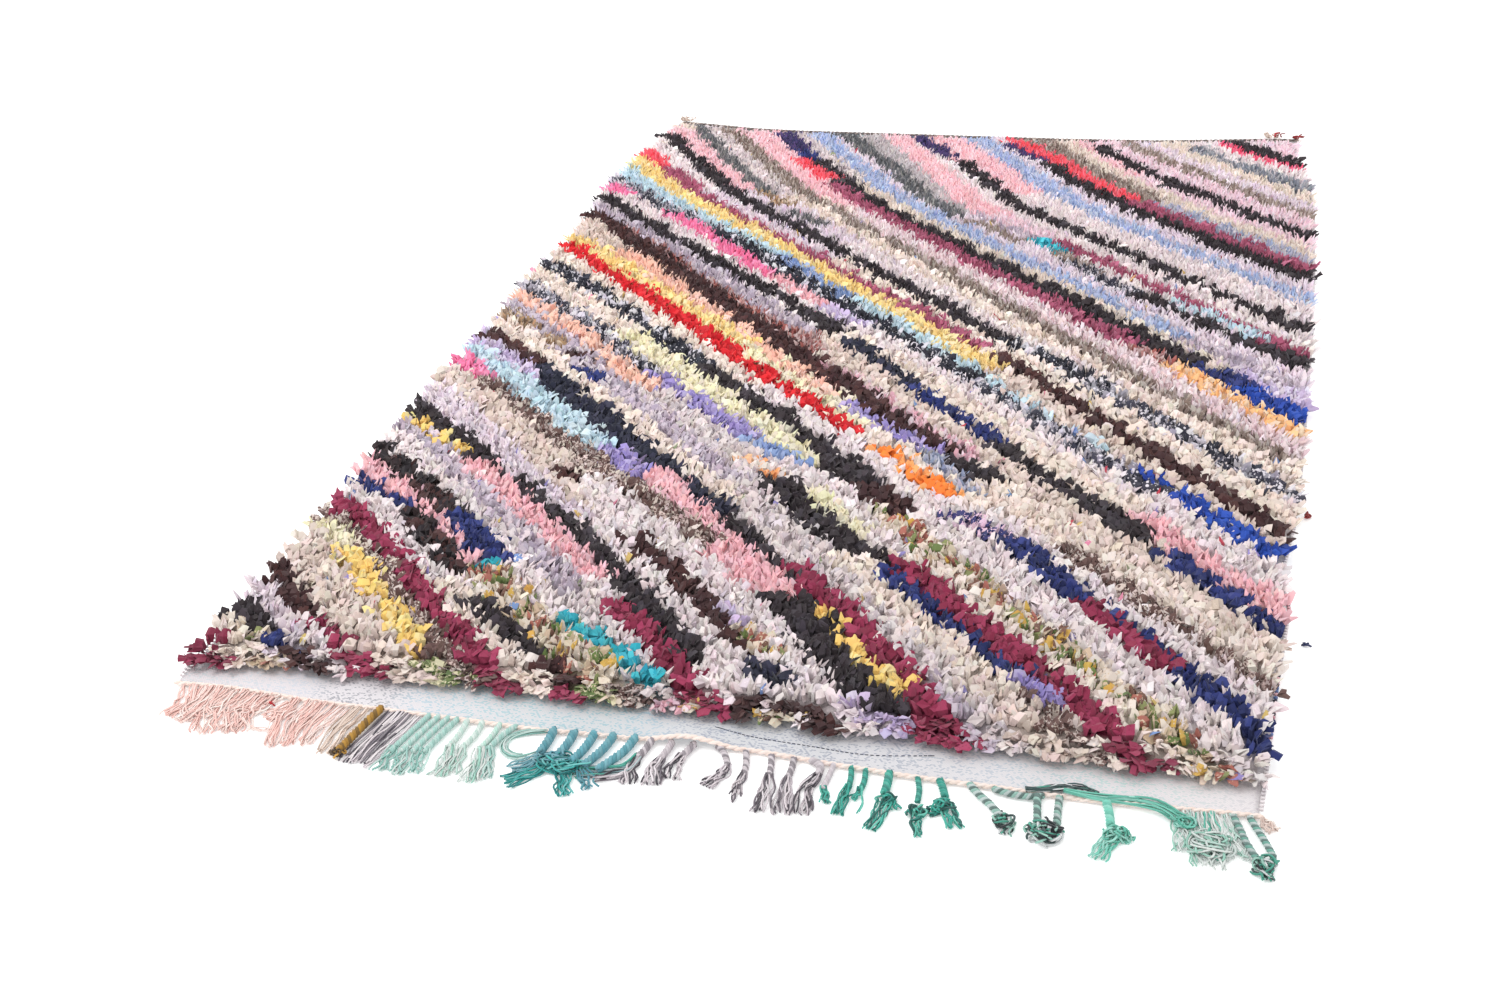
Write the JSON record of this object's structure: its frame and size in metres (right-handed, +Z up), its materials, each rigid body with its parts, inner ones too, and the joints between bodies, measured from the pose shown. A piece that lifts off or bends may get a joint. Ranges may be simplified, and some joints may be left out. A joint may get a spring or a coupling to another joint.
{
  "type": "boucherouite rug",
  "caption": "Hand-knotted rag rug with diagonal stripes in a deep shaggy pile, flatwoven end bands and a tasselled fringe, lying flat.",
  "frame": {"origin": "middle of the ground cloth's underside, on the floor", "axes": "+Z up through the pile, +Y along the rug's length from the fringed near end to the far end, +X across it to the right"},
  "size_m": [1.6016, 2.5425, 0.0319],
  "materials": {
    "ground_weave": "flat plain weave of pale cotton with blue flecks",
    "rag_pile": "matte shaggy pile of cut cotton rags in many colours",
    "fringe_yarn": "matte twisted cotton and wool yarn",
    "edge_cord": "matte twined yarn in dark and pale turns"
  },
  "bodies": {
    "root": {"ground_cloth": "ground_weave", "pile": "rag_pile", "near_fringe": "fringe_yarn", "far_cord": "edge_cord"}
  },
  "joints": []
}
